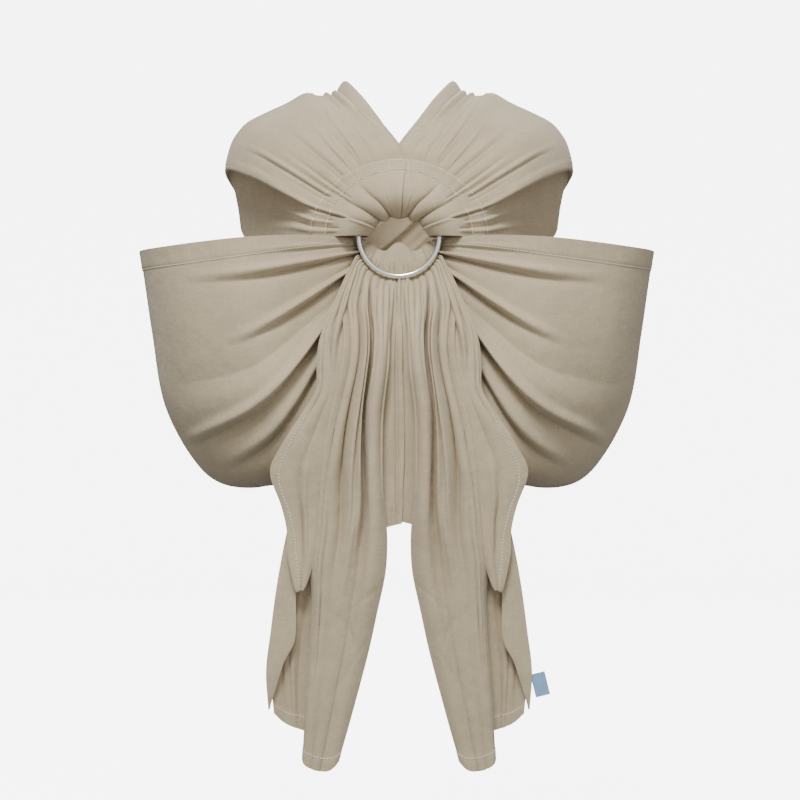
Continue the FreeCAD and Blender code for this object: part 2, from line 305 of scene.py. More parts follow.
def crease(across, along, middle, start, end, width, depth, lean=0.0, bend=0.0, rise=0.1, fall=0.45):
    """A tucked fold along a sheet: a sharp valley -exp(-|x|/w) beside a round ridge, over the
    shares rise and fall of its length fading in and out.  x is the distance across from its
    middle line, which drifts by bend from start to end.  Positive lean puts the ridge beyond."""
    length = end - start
    fade = step(along, start, start + rise * length) * (1 - step(along, end - fall * length, end))
    x = (across - middle - bend * (along - start) / length) / width
    side = np.sign(lean) if lean else 1.0
    ridge = np.exp(-((side * x - 1.3) ** 2)) * abs(lean)
    return depth * fade * (ridge - np.exp(-np.abs(x)))


def ridge_line(across, along, begin, finish, start, end, width, tall):
    """A thin raised line: a bell across it, from begin to finish as along runs start to end,
    which fades in and out over three tenths of its length."""
    share = np.clip((along - start) / (end - start), 0, 1)
    fading = 0.3 * (end - start)
    fade = step(along, start, start + fading) * (1 - step(along, end - fading, end))
    return tall * fade * bump(across, begin + (finish - begin) * share, width)


def slopes(points):
    """Unit normal, and unit direction across, of a grid of points, by central differences."""
    across = np.gradient(points, axis=0)
    length = np.gradient(points, axis=1)
    normal = np.cross(across, length)
    normal /= np.maximum(np.linalg.norm(normal, axis=-1, keepdims=True), 1e-9)
    across /= np.maximum(np.linalg.norm(across, axis=-1, keepdims=True), 1e-9)
    return normal, across


def raised(points, height, shift=0.0):
    """The grid moved by height along its normal, outwards, and by shift across it."""
    normal, across = slopes(points)
    return points - normal * height[..., None] + across * np.asarray(shift)[..., None]


def mirrored(points, left):
    """The same grid for the other side: x changes sign and the grid runs the other way."""
    return points if left else points[::-1] * np.array([-1, 1, 1])


CLOTH_THICKNESS = 1.1
THREAD_LIFT = 0.75


def sheet(name, points):
    """A mesh of linen from a grid of points in mm, with crisp edges.  Its UV is the mean distance
    along the grid lines, in metres."""
    points = points * MM
    rows, cols = points.shape[:2]
    mesh = bpy.data.meshes.new(name)
    index = np.arange(rows * cols).reshape(rows, cols)
    quads = np.stack([index[:-1, :-1], index[1:, :-1], index[1:, 1:], index[:-1, 1:]], -1).reshape(-1, 4)
    mesh.from_pydata(points.reshape(-1, 3).tolist(), [], quads.tolist())
    mesh.polygons.foreach_set("use_smooth", np.ones(len(quads), bool))
    step_u = np.linalg.norm(np.diff(points, axis=0), axis=-1).mean(1)
    step_v = np.linalg.norm(np.diff(points, axis=1), axis=-1).mean(0)
    run_u = np.concatenate([[0], np.cumsum(step_u)])
    run_v = np.concatenate([[0], np.cumsum(step_v)])
    flat = np.stack(np.meshgrid(run_u, run_v, indexing="ij"), -1).reshape(-1, 2)
    ends = np.empty(2 * len(mesh.edges), int)
    mesh.edges.foreach_get("vertices", ends)
    row, col = np.divmod(ends.reshape(-1, 2), cols)
    rims = [(line == value).all(1)
            for line, value in ((row, 0), (row, rows - 1), (col, 0), (col, cols - 1))]
    crisp = mesh.attributes.new("sharp_edge", "BOOLEAN", "EDGE")
    crisp.data.foreach_set("value", np.any(rims, axis=0))
    layer = mesh.uv_layers.new(name="cloth")
    layer.data.foreach_set("uv", flat[quads.reshape(-1)].ravel().astype(np.float32))
    mesh.materials.append(natural)
    made = bpy.data.objects.new(name, mesh)
    bpy.context.scene.collection.objects.link(made)
    wall = made.modifiers.new("thickness", "SOLIDIFY")
    wall.thickness = CLOTH_THICKNESS * MM
    wall.offset = 0.0
    return made


thread = bpy.data.materials.new("cotton_thread")
thread.use_nodes = True
thread_nodes = thread.node_tree.nodes
thread_shader = thread_nodes["Principled BSDF"]
thread_shader.inputs["Roughness"].default_value = 0.6
thread_shader.inputs["Sheen Weight"].default_value = 0.3
thread_spot = thread_nodes.new("ShaderNodeTexCoord")
thread_ply = thread_nodes.new("ShaderNodeTexNoise")
thread_ply.inputs["Scale"].default_value = 1500.0
thread_shade = thread_nodes.new("ShaderNodeMix")
thread_shade.data_type = "RGBA"
thread_shade.inputs["A"].default_value = (0.66, 0.60, 0.47, 1)
thread_shade.inputs["B"].default_value = (0.86, 0.81, 0.68, 1)
thread.node_tree.links.new(thread_spot.outputs["Object"], thread_ply.inputs["Vector"])
thread.node_tree.links.new(thread_ply.outputs["Fac"], thread_shade.inputs["Factor"])
thread.node_tree.links.new(thread_shade.outputs["Result"], thread_shader.inputs["Base Color"])


def on_cloth(grid, u, v):
    """Points just off a grid at the shares u and v, by bilinear weights, and their normals."""
    normal, _ = slopes(grid)
    i = np.clip(u, 0, 1) * (grid.shape[0] - 1)
    j = np.clip(v, 0, 1) * (grid.shape[1] - 1)
    i0 = np.minimum(i.astype(int), grid.shape[0] - 2)
    j0 = np.minimum(j.astype(int), grid.shape[1] - 2)
    a, b = (i - i0)[:, None], (j - j0)[:, None]

    def blended(field):
        return ((field[i0, j0] * (1 - a) + field[i0 + 1, j0] * a) * (1 - b)
                + (field[i0, j0 + 1] * (1 - a) + field[i0 + 1, j0 + 1] * a) * b)

    out = -blended(normal)
    out /= np.linalg.norm(out, axis=1, keepdims=True)
    return blended(grid) + out * THREAD_LIFT, out


def stitches(name, runs, left, pitch=3.4, length=2.5, radius=0.5):
    """Short lengths of thread along each run of points, six-sided and narrow at both ends, all in
    mm.  A run is laid out for the left side and changes the sign of x for the right one."""
    side = np.array([1.0 if left else -1.0, 1, 1])
    middles, ways, outs = [], [], []
    for points, out in runs:
        travelled = np.concatenate([[0], np.cumsum(np.linalg.norm(np.diff(points, axis=0), axis=1))])
        at = np.arange(pitch, travelled[-1], pitch)
        for store, field in ((middles, points), (ways, np.gradient(points, axis=0)), (outs, out)):
            store.append(np.stack([np.interp(at, travelled, field[:, k]) for k in range(3)], -1) * side)
    middle, way, out = (np.concatenate(part) for part in (middles, ways, outs))
    way /= np.linalg.norm(way, axis=1, keepdims=True)
    out -= way * (out * way).sum(1, keepdims=True)
    out /= np.linalg.norm(out, axis=1, keepdims=True)
    across = np.cross(out, way)
    spine = np.array([-0.5, -0.3, 0.3, 0.5]) * length
    girth = np.array([0.4, 1.0, 1.0, 0.4]) * radius
    turned = np.arange(6) * np.pi / 3
    hoop = (across[:, None, :] * np.cos(turned)[:, None] + out[:, None, :] * 0.8 * np.sin(turned)[:, None])
    verts = (middle[:, None, None, :] + way[:, None, None, :] * spine[:, None, None]
             + hoop[:, None, :, :] * girth[:, None, None])
    k = np.arange(6)
    side_faces = np.concatenate([np.stack([6 * r + k, 6 * r + (k + 1) % 6, 6 * r + 6 + (k + 1) % 6,
                                           6 * r + 6 + k], -1) for r in range(3)])
    starts = 24 * np.arange(len(middle))
    faces = (side_faces[None] + starts[:, None, None]).reshape(-1, 4).tolist()
    faces += (k[::-1][None] + starts[:, None]).tolist() + (18 + k[None] + starts[:, None]).tolist()
    mesh = bpy.data.meshes.new(name)
    mesh.from_pydata((verts.reshape(-1, 3) * MM).tolist(), [], faces)
    mesh.polygons.foreach_set("use_smooth", np.ones(len(faces), bool))
    mesh.materials.append(thread)
    made = bpy.data.objects.new(name, mesh)
    bpy.context.scene.collection.objects.link(made)
    return made


def around_ring(angle, radius, depth):
    """A point at that angle from +X and radius about the ring's middle, at that y."""
    a = np.radians(angle)
    return np.array([radius * np.cos(a), depth, RING[2] + radius * np.sin(a)])


# The lower edge is turned under past the share TUCK of the width.  A line has 16 spans: the hole
# through the rings comes after 3 of them, and the far side of the seams after 8.  At the neck the
# lines stop at NECK_ANGLE, and the left cloth stands forward by NECK_LAP.  The two back bands
# stand off the back by different amounts, because one lies over the other.
TUCK = 0.80
SPANS = 16.0
HOLE_AT, FAR_AT = 3 / SPANS, 8 / SPANS
NECK_ANGLE = 89.5
NECK_LAP = -2.2
INNER_BAND, OUTER_BAND = 3.0, 9.0
# Half the width, and the height, of the two curved rows of stitching round the rings.
INNER_SEAM, OUTER_SEAM = (75, 66.5), (90, 77.5)
# Each line: share of the width, angle round the rings, where it crosses the top of the shoulder,
# and whether it lies in the part that is turned under the cap.
shoulder_lines = [
    (0.00, 85, (-57.5, 2, 10), 0), (0.03, 89, (-61, 3, 9.5), 0), (0.07, 94, (-67, 3, 3), 0),
    (0.13, 101, (-77, 3, -4), 0), (0.21, 109, (-89, 1, -6), 0), (0.29, 116, (-103, 0, -4.5), 0),
    (0.38, 124, (-121, 0, -15), 0), (0.48, 132, (-145, 0, -26), 0), (0.58, 141, (-167, -1, -38), 0),
    (0.68, 149, (-180, -2, -55), 0), (0.76, 156, (-186, -4, -74), 0), (0.80, 161, (-186, -5, -84), 0),
    (0.85, 165, (-178, 4, -90), 1), (0.92, 172, (-171, 12, -122), 1), (1.00, 181, (-168, 16, -156), 1)]


def back_line(share, layer):
    """Across the back at a share of the band's width: points from the shoulder to the far hip."""
    s = min(share / TUCK, 1.0)
    under = max(share - TUCK, 0) / (1 - TUCK)
    x = np.array([-40 - 134 * s, 2 - 114 * s, 62 - 78 * s, 104 - 34 * s, 128])
    z = np.array([-22 - 90 * s, -92 - 116 * s, -142 - 150 * s, -168 - 182 * s, -185 - 191 * s])
    y = np.array([0, 101, 101, 101, 101]) * np.sqrt(1 - (x / 250) ** 2) + layer
    y[0] = 62 - 18 * s + layer
    lift = 4 * s * (1 - s) * np.array([8, 2, 2, 0, 0])
    line = np.stack([x, y + lift, z], -1)
    line[:, 0] += under * np.array([6, 3, 0, 0, 0])
    line[:, 1] -= under * np.array([8, 4, 3, 2, 2])
    line[:, 2] -= under * np.array([34, 18, 8, 4, 2])
    return line


def shoulder_rails(layer, front):
    """Every line from inside the rings, out of the hole, over the puffed gathers to the seams,
    then over the shoulder and across the back.  The left cloth laps over the right by front."""
    rails = []
    for share, angle, top, tucked in shoulder_lines:
        top = np.array(top, float)
        lap = np.array([0, front * max(0.0, 1 - share / 0.12), 0])
        far = around_ring(max(angle, NECK_ANGLE), 92, -138.5) + lap
        full = np.array([-5, 0, 6]) * np.sin(np.pi * share) * (1 - tucked)
        one = far * 0.66 + top * 0.34 + full + np.array([0, -26 + 16 * tucked, 0])
        two = far * 0.33 + top * 0.67 + full + np.array([0, -30 + 22 * tucked, 2 - 6 * tucked])
        hole = 20 + 11 * (max(angle - 92, 0) / 88) ** 1.5
        ring_part = [around_ring(angle, r, y) + lap for r, y in
                     ((64, -118), (42, -115), (hole + 1, -127), (hole, -142), (hole + 8, -153),
                      (hole + 21, -157.5), (0.5 * (hole + 21) + 37, -152.5), (75, -143.5))]
        rails.append(ring_part + [far, one, two, top] + list(back_line(share, layer)))
    return rails


def seam_shape(grid, wide, tall):
    """How far out each point is from the rings' middle, where 1 is a curve that wide and tall."""
    return np.hypot(grid[..., 0] / wide, (grid[..., 2] - RING[2]) / tall)


def shoulder_cloth(left):
    """The net of the lines, raised by: three puffs between two deep creases round the sleeve, fine
    gathers under the seams, long thin ridges and folds over the shoulder, and pleats down the
    back.  U runs from the neck to the turned edge, and V from the rings to the far hip."""
    shares = np.array([line[0] for line in shoulder_lines])
    u = np.linspace(0, 1, 230)
    v = np.linspace(0, 1, 260)
    timed = np.interp(u, shares, np.linspace(0, 1, len(shares)))
    band, lap = (OUTER_BAND, NECK_LAP) if left else (INNER_BAND, 0.0)
    grid = net(shoulder_rails(band, lap), timed, v)
    U, V = np.meshgrid(u, v, indexing="ij")
    fold = partial(crease, U, V)
    spread = np.clip((V - HOLE_AT) / 0.22, 0, 1.2)
    first = 0.29 + 0.15 * spread
    second = 0.60 + 0.06 * spread
    sleeve = step(V, 0.10, 0.17) * (1 - step(V, 0.33, 0.43))
    height = 5.0 * (puffs(U, [-0.30, first, second, 1.04], 0.55) - 0.75) * sleeve
    begins = step(V, 0.14, 0.19)
    height -= 3.2 * np.exp(-np.abs(U - first) / 0.020) * begins * (1 - step(V, 0.33, 0.41))
    height -= 2.6 * np.exp(-np.abs(U - second) / 0.018) * begins * (1 - step(V, 0.28, 0.37))
    height += fold(0.80, 0.15, 0.40, 0.022, 2.2, lean=0.7)
    height += fold(0.10, 0.16, 0.42, 0.016, 1.0, lean=0.8, bend=-0.03)
    height += fold(0.18, 0.17, 0.36, 0.012, 0.9, lean=-0.8, bend=0.02)
    inner, outer = seam_shape(grid, *INNER_SEAM), seam_shape(grid, *OUTER_SEAM)
    near = step(V, 0.30, 0.34) * (1 - step(V, 0.56, 0.60))
    height += 0.8 * near * step(inner, 0.985, 1.01) * (1 - step(outer, 0.99, 1.015))
    height -= 0.7 * near * (bump(inner, 1.0, 0.012) + bump(outer, 1.0, 0.012))
    small = puffs(U, [-0.01, 0.05, 0.13, 0.22, 0.34, 0.42, 0.53,
                      0.60, 0.66, 0.74, 0.81, 0.86, 0.93, 1.01])
    height += 1.3 * (small - 0.7) * bump(V, FAR_AT, 0.055)
    height += fold(0.13, 0.54, 0.82, 0.015, 4.6, lean=1.0, rise=0.4, fall=0.3)
    height += fold(0.085, 0.55, 0.74, 0.012, 3.4, lean=0.8, rise=0.4, fall=0.3)
    height += ridge_line(U, V, 0.31, 0.24, 0.46, 0.72, 0.007, 1.2)
    height += ridge_line(U, V, 0.24, 0.19, 0.47, 0.70, 0.006, 1.0)
    height += ridge_line(U, V, 0.20, 0.155, 0.48, 0.66, 0.006, 0.8)
    height += ridge_line(U, V, 0.42, 0.37, 0.47, 0.60, 0.008, 0.8)
    height += fold(0.50, 0.47, 0.62, 0.020, 1.0, lean=-0.8)
    height += fold(0.60, 0.37, 0.58, 0.014, 2.4, lean=0.9, bend=0.01)
    height += fold(0.70, 0.46, 0.66, 0.014, 2.4, lean=-0.9, bend=0.01)
    height += fold(0.82, 0.33, 0.80, 0.011, 4.4, lean=-1.0)
    height += fold(0.88, 0.40, 0.60, 0.012, 2.6, lean=0.8)
    height += fold(0.94, 0.36, 0.64, 0.014, 2.8, lean=0.8)
    back = step(V, 0.66, 0.76)
    for middle, width, depth, lean, bend in ((0.18, 0.03, 3.0, 1, 0.06), (0.42, 0.035, 3.4, -1, 0.03),
                                             (0.63, 0.03, 3.0, 1, -0.04), (0.30, 0.02, 1.6, -1, 0.05)):
        height += back * fold(middle, 0.64, 1.15, width, depth, lean, bend)
    hem = neck_hem(V)
    height += 0.7 * step(V, 0.47, 0.5) * (1 - step(U, hem - 0.004, hem + 0.004))
    height += 0.7 * np.sin(9 * U + 5 * V) * np.sin(21 * V + 3 * U)
    return raised(grid, height)


def neck_hem(v):
    """The share of the width that the neck's turned edge takes, along the cloth."""
    return 0.055 + 0.04 * step(v, 0.50, 0.68)


def seam_row(grid, wide, tall, u):
    """Where the row of stitching on that curve crosses each line of the cloth, as shares v."""
    rows = np.round(u * (len(grid) - 1)).astype(int)
    first, last = int(0.30 * grid.shape[1]), int(0.60 * grid.shape[1])
    far = seam_shape(grid, wide, tall)[rows, first:last]
    return (first + np.argmax(far > 1.0, axis=1)) / (grid.shape[1] - 1)


def tack_row(grid, x, z):
    """The points of the cloth in front nearest to those x and z, and their normals."""
    first, last = int(0.34 * grid.shape[1]), int(0.56 * grid.shape[1])
    part = grid[:70, first:last].reshape(-1, 3)
    normal = -slopes(grid)[0][:70, first:last].reshape(-1, 3)
    near = np.argmin(np.hypot(part[None, :, 0] - x[:, None], part[None, :, 2] - z[:, None]), axis=1)
    return part[near] + normal[near] * THREAD_LIFT, normal[near]


for left, side in SIDES:
    grid = shoulder_cloth(left)
    piece = sheet(side + "_shoulder_cloth", mirrored(grid, left))
    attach(piece, "harness")
    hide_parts(*[side + "_" + part for part in
                         ("ring_sleeve", "shoulder_panel", "neck_hem", "underarm_panel", "back_band",
                          "inner_ring_seam", "outer_ring_seam")])
    u = np.linspace(0.0 if left else 0.07, 0.985, 160)
    hem_v = np.linspace(0.51, 0.985, 240)
    runs = [on_cloth(grid, u, seam_row(grid, *seam, u)) for seam in (INNER_SEAM, OUTER_SEAM)]
    runs.append(on_cloth(grid, neck_hem(hem_v), hem_v))
    # A small square of stitching holds the two cloths together above the rings.
    inset, outset = (4.0, -10.0) if left else (-5.5, -9.5)
    corners = np.array([(inset, -88), (outset, -88), (outset, -101), (inset, -101)], float)
    share = np.linspace(0, 3, 60)
    runs.append(tack_row(grid, *(np.interp(share, range(4), corners[:, k]) for k in range(2))))
    sewn = stitches(side + "_shoulder_stitching", runs, left)
    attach(sewn, "harness")


# ---- The two pouches ----
# The same cloths, opened out wide round each hip to hold an infant.  Their top and bottom edges
# are turned once and stitched; deep folds run out from where they are gathered into the rings.
TOP_HEM, BOTTOM_HEM, HEM_EASE = 0.046, 0.956, 0.003
RIGHT_FULLNESS = 0.982


def pouch_rails(band):
    """The lines along a pouch, in mm, from the rings to the back, where it sinks into the other
    cloth's band, which stands that far off the back."""
    top = [(-36, -119, -168), (-66, -148, -167), (-105, -163, -166), (-165, -170, -169),
           (-238, -134, -175), (-276, -60, -177), (-257, 20, -180), (-200, 73, -183),
           (-132, 98, -187), (-88, 104, -160)]
    side = [(-34, -119, -184), (-62, -150, -200), (-100, -166, -222), (-158, -180, -250),
            (-226, -142, -262), (-262, -60, -262), (-246, 20, -262), (-194, 75, -256),
            (-132, 99, -240), (-88, 105, -236)]
    middle = [(-31, -118, -196), (-54, -149, -232), (-88, -165, -275), (-142, -178, -325),
              (-207, -138, -344), (-246, -60, -345), (-228, 22, -342), (-184, 75, -325),
              (-132, 99, -290), (-88, 105, -280)]
    low = [(-27, -118, -204), (-46, -143, -258), (-73, -157, -322), (-118, -160, -384),
           (-172, -126, -408), (-208, -58, -411), (-197, 22, -402), (-166, 73, -378),
           (-132, 99, -330), (-88, 105, -315)]
    belly = [(-22, -118, -209), (-38, -136, -280), (-60, -143, -352), (-100, -138, -410),
             (-142, -104, -425), (-168, -52, -427), (-164, 20, -420), (-150, 69, -400),
             (-132, 98, -360), (-88, 104, -345)]
    bottom = [(-16, -118, -211), (-30, -128, -290), (-50, -124, -355), (-84, -108, -394),
              (-118, -84, -406), (-132, -46, -408), (-138, 16, -406), (-136, 62, -396),
              (-132, 97, -374), (-88, 103, -362)]
    rails = np.array([top, side, middle, low, belly, bottom], float)
    rails[:, -2, 1] = 87.5 + band
    rails[:, -1, 1] = 90.5 + band
    return rails


def pouch_cloth(left):
    """The net of the lines, raised by: gathers that fade from the rings, deep folds that run out
    and down from them, shorter folds that run in from the back, a slow swell, and the hems.  U
    runs from the top edge to the bottom one, and V from the rings to the back."""
    u = np.linspace(0, 1, 210)
    v = np.linspace(0, 1, 170)
    grid = net(pouch_rails(INNER_BAND if left else OUTER_BAND), u, v)
    if not left:
        grid = grid * np.array([RIGHT_FULLNESS, 1, 1])
    U, V = np.meshgrid(u, v, indexing="ij")
    fold = partial(crease, U, V)
    near = 1 - step(V, 0.02, 0.24)
    small = puffs(U, [-0.01, 0.05, 0.11, 0.16, 0.22, 0.29, 0.35,
                      0.42, 0.5, 0.57, 0.66, 0.74, 0.83, 0.92, 1.01])
    height = 2.6 * (small - 0.7) * near
    height += fold(0.070, 0.0, 0.34, 0.010, 2.8, lean=-0.8, bend=-0.02)
    height += fold(0.15, 0.0, 0.44, 0.013, 7.5, lean=-1.0, bend=-0.06)
    height += fold(0.26, 0.02, 0.38, 0.014, 9.5, lean=-1.0)
    height += fold(0.33, 0.12, 0.52, 0.045, 4.0, lean=0.8, rise=0.3)
    height += fold(0.36, 0.04, 0.54, 0.017, 12.0, lean=-1.0, bend=0.15)
    height += fold(0.47, 0.14, 0.47, 0.022, 6.0, lean=-1.0, bend=0.13, rise=0.3)
    height += fold(0.62, 0.08, 0.42, 0.030, 3.0, lean=-1.0, bend=0.08, rise=0.3)
    backwards = 1.6 - V
    for middle, start, width, depth, lean in ((0.2, 0.62, 0.03, 3, 1), (0.38, 0.66, 0.03, 4, -1),
                                              (0.55, 0.6, 0.035, 4, 1), (0.75, 0.62, 0.03, 3, -1)):
        height += crease(U, backwards, middle, start - 0.06, 1.6 - start, width, depth, lean)
    height += 2.0 * np.sin(5.2 * U + 1.4) * np.sin(9 * V + 4 * U)
    hemmed = (1 - step(U, TOP_HEM - HEM_EASE, TOP_HEM + HEM_EASE)
              + step(U, BOTTOM_HEM - HEM_EASE, BOTTOM_HEM + HEM_EASE))
    sunk = bump(U, TOP_HEM, HEM_EASE) + bump(U, BOTTOM_HEM, HEM_EASE)
    height += (0.8 * hemmed - 0.5 * sunk) * step(V, 0.05, 0.15)
    return raised(grid, height)


for left, side in SIDES:
    grid = pouch_cloth(left)
    piece = sheet(side + "_pouch_cloth", mirrored(grid, left))
    along_hem = np.linspace(0.08, 0.985, 300)
    rows = [on_cloth(grid, 0 * along_hem + hem, along_hem) for hem in (TOP_HEM, BOTTOM_HEM)]
    sewn = stitches(side + "_pouch_stitching", rows, left)
    for part in (piece, sewn):
        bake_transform(part)
    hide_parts(side + "_pouch_panel", side + "_pouch_top_hem", side + "_pouch_bottom_hem")


# ---- The two tails ----
# Each cloth comes up behind the rings, turns over the rear one, and drops between the two, where
# the front ring's arc grips it in fine pleats.  Below, it opens in long folds: a flap that lies
# over the pouch, a long strip in the middle, and the outer layer folded back behind them.
def crest(x):
    """Height of the cloth's top edge where it turns over the rear ring: two scallops a side."""
    return RING[2] - 10 + 4.5 * np.cos(2 * np.pi * x / 33) - 2 * (1 - np.abs(x) / 33)


def throat(left):
    """Up behind both rings, over the rear one, and down to the front ring's bar: six lines across
    joined by smooth curves, and raised by fine gathers near the bar and broad ones at the top."""
    angle = np.linspace(184, 270, 110)
    v = np.linspace(0, 1, 90)
    x = 34 * np.cos(np.radians(angle))
    top = crest(x)
    bar = np.stack([around_ring(a, 43.5, RING[1] + 5.5) for a in angle])
    lines = [np.stack([x * 1.05, RING[1] + 24 + 0 * x, RING[2] - 46 + 0 * x], -1),
             np.stack([x, RING[1] + 22 + 0 * x, (top + RING[2] - 46) / 2], -1),
             np.stack([x, RING[1] + 16 + 0 * x, top - 2], -1),
             np.stack([x, RING[1] + 8 + 0 * x, top - 1], -1),
             bar * [0.62, 1, 0] + np.stack([0.38 * x, 0 * x - 1.5, 0.5 * bar[:, 2] + 0.5 * top], -1),
             bar]
    grid = np.swapaxes(curve(np.stack(lines), v), 0, 1)
    U, V = np.meshgrid(np.linspace(0, 1, 110), v, indexing="ij")
    lean = U + 0.05 * (V - 0.8)
    small = puffs(lean, [-0.03, 0.09, 0.15, 0.27, 0.33, 0.41, 0.52, 0.6, 0.66, 0.78, 0.85, 0.93, 1.04], 0.5)
    big = puffs(lean, [-0.06, 0.21, 0.5, 0.72, 1.06], 0.6)
    height = 1.9 * (small - 0.7) * step(V, 0.66, 0.92) + 2.2 * (big - 0.7) * step(V, 0.45, 0.65)
    return mirrored(raised(grid, height), left)


for left, side in SIDES:
    piece = sheet(side + "_throat_cloth", throat(left))
    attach(piece, "harness")
    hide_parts(side + "_throat")


def gripped(angle):
    """The start of a tail line: from behind the front ring's bar, out under it and forward."""
    return [tuple(around_ring(angle, 41, RING[1] + 5.0)), tuple(around_ring(angle, 46.5, RING[1] + 3.5)),
            tuple(around_ring(angle, 50.5, RING[1] - 4))]


# Lines down the left tail, in mm, each named for where it lies across the flap, the strip or the
# fold in the centre.  The right tail is the same, mirrored.
flap_outer = gripped(207) + [
    (-55, -156, -211), (-65, -166, -233), (-75, -175, -256), (-81, -181, -276), (-83, -185, -300),
    (-84, -188, -324), (-97, -190, -347), (-111, -190, -368), (-122, -189, -386), (-129, -188, -400),
    (-128.5, -187, -414), (-119, -187, -439), (-113, -188, -465), (-112, -189, -490),
    (-105, -190, -522), (-101.8, -190, -527)]
flap_mid = gripped(212) + [
    (-50, -160, -212), (-57, -172, -234), (-64, -181, -257), (-68, -187, -277), (-70, -191, -301),
    (-72, -193, -326), (-81, -195, -350), (-90, -195, -372), (-97, -194, -393), (-101, -193, -412),
    (-102, -192, -432), (-99, -191, -455), (-98, -191, -480), (-98, -192, -500),
    (-99, -192, -519), (-99.5, -191, -526)]
flap_inner = gripped(218) + [
    (-42, -156, -214), (-42, -168, -236), (-41, -176, -258), (-40, -181, -278), (-42, -184, -302),
    (-48, -185, -328), (-53, -185, -354), (-58, -185, -376), (-62, -185, -400), (-66, -185, -424),
    (-73, -186, -446), (-79, -187, -467), (-84, -188, -486), (-88, -189, -503),
    (-93, -190, -518), (-97, -190, -525)]
strip_outer = gripped(213) + [
    (-50, -152, -212), (-59, -164, -235), (-58, -172, -258), (-57, -177, -280), (-60, -180, -303),
    (-66, -181, -330), (-71, -181, -357), (-75, -181, -384), (-79, -181, -412), (-86, -181, -440),
    (-91, -182, -468), (-91, -183, -498), (-88, -185, -535), (-90, -187, -580), (-94, -188, -640),
    (-97, -188, -696)]
strip_fold = gripped(222) + [
    (-42, -160, -214), (-46, -172, -237), (-43.5, -182, -260), (-43, -189, -283), (-46, -193, -306),
    (-52, -196, -333), (-58, -197, -360), (-63, -197, -387), (-67.5, -197, -415), (-69, -197, -443),
    (-71, -197, -470), (-76, -197, -500), (-79, -196, -537), (-82, -195, -582), (-87, -194, -643),
    (-92, -192, -704)]
strip_valley = gripped(237) + [
    (-30, -160, -218), (-31, -172, -242), (-29.5, -181, -265), (-30, -187, -288), (-33, -190, -311),
    (-37, -191, -338), (-38.3, -191, -365), (-38, -191, -392), (-37, -191, -420), (-37, -191, -448),
    (-40, -191, -475), (-43, -191, -505), (-49, -192, -542), (-56, -193, -587), (-68, -193, -648),
    (-80, -193, -708)]
strip_crest = gripped(252) + [
    (-17, -163, -222), (-18, -178, -246), (-17.5, -188, -269), (-18.5, -194, -292), (-21, -197, -315),
    (-24.5, -198, -342), (-26, -198, -369), (-26.5, -198, -396), (-26, -198, -424), (-25, -198, -452),
    (-26, -197, -479), (-29, -197, -509), (-36, -196, -546), (-44, -195, -590), (-57, -194, -650),
    (-70, -193, -707)]
strip_inner = gripped(266) + [
    (-5, -158, -222), (-5.5, -170, -246), (-7, -178, -269), (-9, -182, -292), (-11.5, -185, -315),
    (-14, -186, -342), (-15, -187, -369), (-15, -187, -396), (-14, -188, -424), (-11.5, -188, -452),
    (-11, -189, -479), (-13.5, -189, -509), (-21.5, -190, -546), (-31, -190, -590), (-47, -190, -650),
    (-61, -190, -698)]
centre_outer = gripped(258) + [
    (-10, -152, -222), (-11, -164, -246), (-13, -171, -270), (-16, -175, -295), (-19, -177, -320),
    (-21, -178, -345), (-21.5, -179, -370), (-21, -179, -395), (-20, -179, -420), (-18, -180, -445),
    (-17, -180, -464)]
centre_inner = gripped(271) + [
    (1, -156, -224), (1.5, -167, -248), (2, -174, -272), (3, -177, -297), (4, -179, -322),
    (5, -180, -347), (5, -181, -372), (5, -181, -397), (4, -181, -420), (3.5, -181, -442),
    (3, -181, -459)]


def folded_tail(rails, fine, rows, cols, reach):
    """The net of a tail, and the height of the small pleats that the ring grips: round crests
    between the fine valleys, which wander a little and fade by that reach."""
    u = np.linspace(0, 1, rows)
    v = np.linspace(0, 1, cols)
    U, V = np.meshgrid(u, v, indexing="ij")
    start = 2.0 / (len(rails[0]) - 1)
    wander = U + 0.015 * np.sin(16 * V + 9 * U) * step(V, start, start + 0.1)
    small = puffs(wander, fine, 0.55)
    grip = (bump(V, start + 0.05, 0.10) + 0.5 * step(V, start, start + 0.1)) * (1 - step(V, 0.2, reach))
    depth = 4.6 + 1.6 * np.sin(23 * U + 1.0)
    height = depth * (small - 0.75) * grip
    height += 0.8 * np.sin(6 * U + 11 * V) * np.sin(17 * V)
    return net(rails, u, v), height, U, V


def tail_flap():
    """The outer flap: its pleats, two broad crests, four long folds and a turned outer edge."""
    grid, height, U, V = folded_tail([flap_outer, flap_mid, flap_inner],
                                     [-0.02, 0.16, 0.42, 0.70, 1.02], 80, 260, 0.5)
    fold = partial(crease, U, V)
    height += 3.5 * (puffs(U, [-0.3, 0.55, 1.2], 0.8) - 0.7) * step(V, 0.35, 0.55)
    height += fold(0.42, 0.16, 0.42, 0.05, 4.5, 1, 0.1, 0.2, 0.4)
    height += fold(0.72, 0.10, 0.38, 0.05, 4.0, -1, -0.08, 0.2, 0.4)
    height += fold(0.50, 0.58, 0.90, 0.05, 3.0, 1, 0.08, 0.3, 0.3)
    height += fold(0.22, 0.30, 0.55, 0.05, 2.0, -1, 0.02, 0.3, 0.4)
    hem = flap_hem(V)
    height += 0.7 * step(V, 0.4, 0.5) * (1 - step(U, hem - 0.01, hem + 0.01))
    return raised(grid, height)


def flap_hem(v):
    """The share of the flap's width that its turned edge takes: more where the flap narrows."""
    return 0.16 + 0.16 * step(v, 0.70, 0.95)


